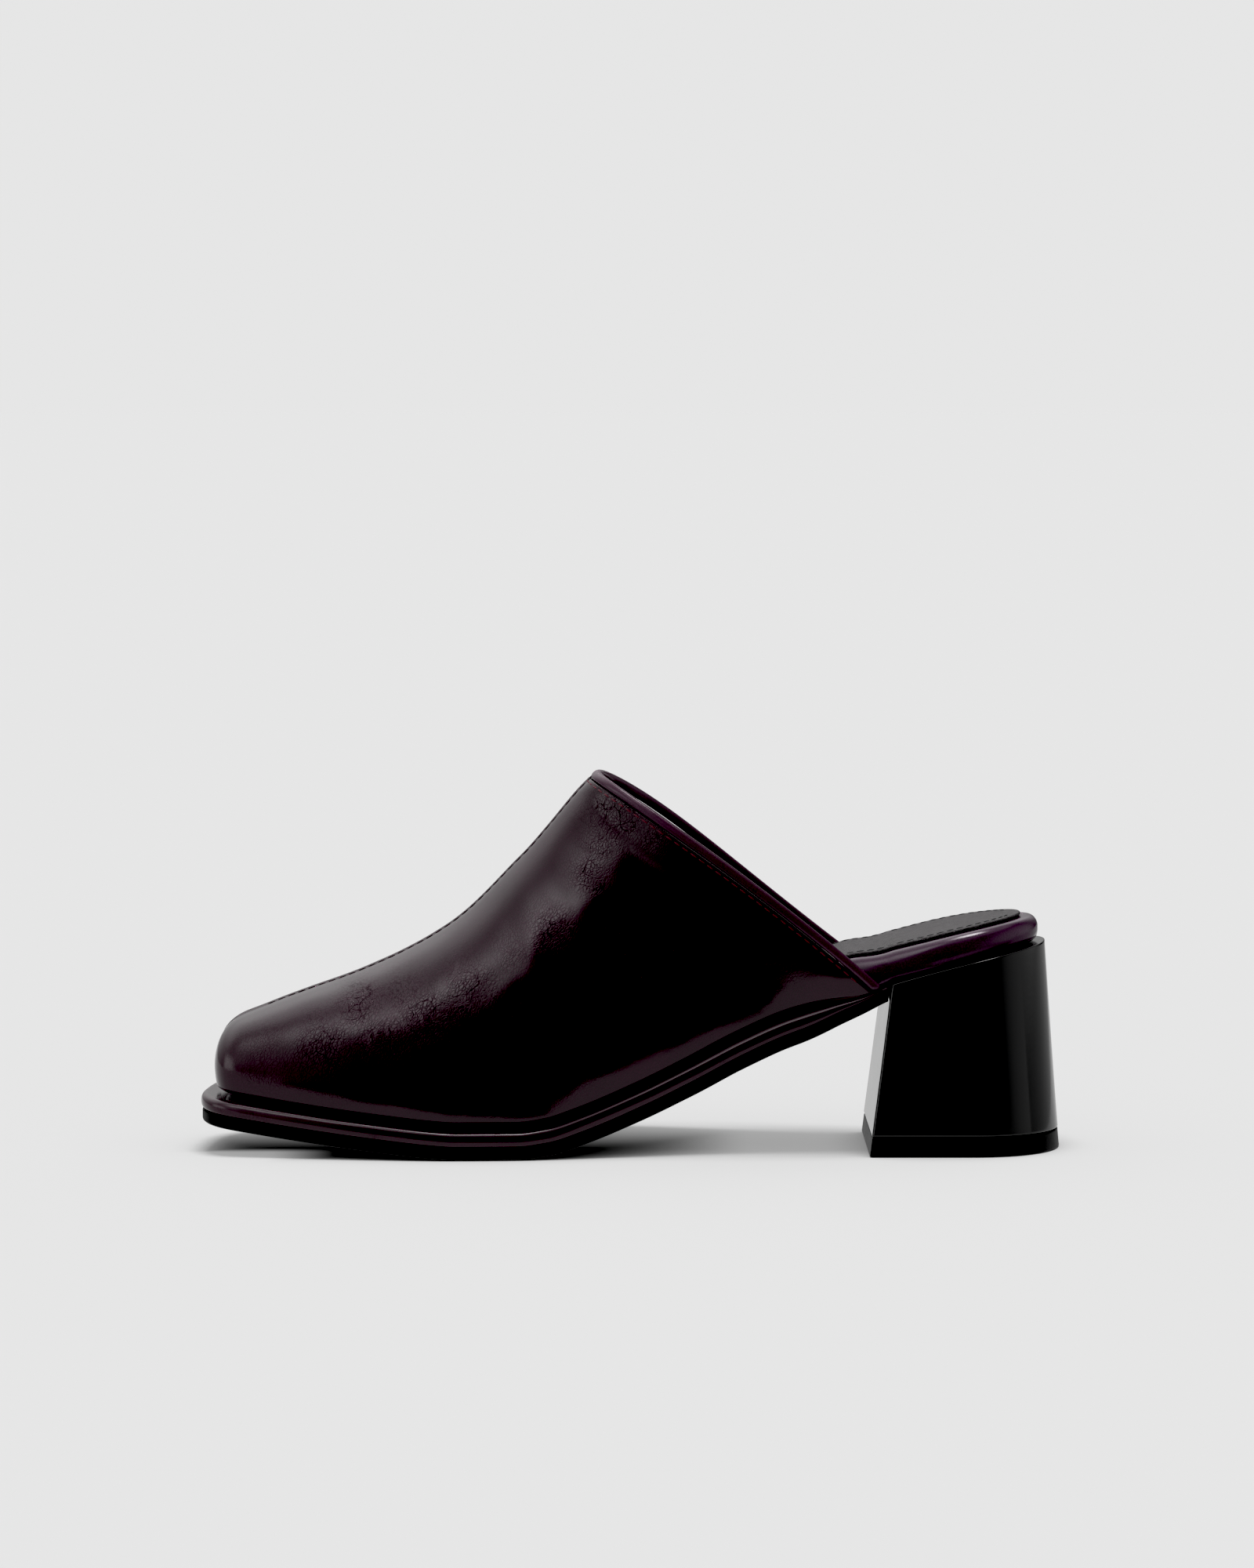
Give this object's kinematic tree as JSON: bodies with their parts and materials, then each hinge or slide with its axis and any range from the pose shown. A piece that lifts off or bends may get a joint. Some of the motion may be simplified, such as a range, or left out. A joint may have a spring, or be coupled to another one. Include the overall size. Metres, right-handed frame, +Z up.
{
  "type": "block-heel mule",
  "caption": "Square-toed backless mule for the right foot: a one-piece closed-toe upper rising to a high throat, a slim platform-less sole and a tall block heel.",
  "frame": {"origin": "centre of the part's box on the floor that the shoe stands on", "axes": "+X from the toe to the heel, +Y from the inner side of the foot to the outer side, +Z up"},
  "size_m": [0.2528, 0.0868, 0.1108],
  "materials": {
    "outsole": "matt black",
    "rand": "glossy oxblood leather wrap",
    "footbed": "glossy oxblood leather wrap",
    "insole_sock": "black grained leather",
    "upper": "crinkled oxblood patent leather",
    "topline_binding": "rolled oxblood leather",
    "heel": "black lacquer",
    "top_lift": "satin black"
  },
  "bodies": {
    "root": {"outsole": "outsole", "rand": "rand", "footbed": "footbed", "insole_sock": "insole_sock", "upper": "upper", "topline_binding": "topline_binding", "heel": "heel", "top_lift": "top_lift"}
  },
  "joints": []
}
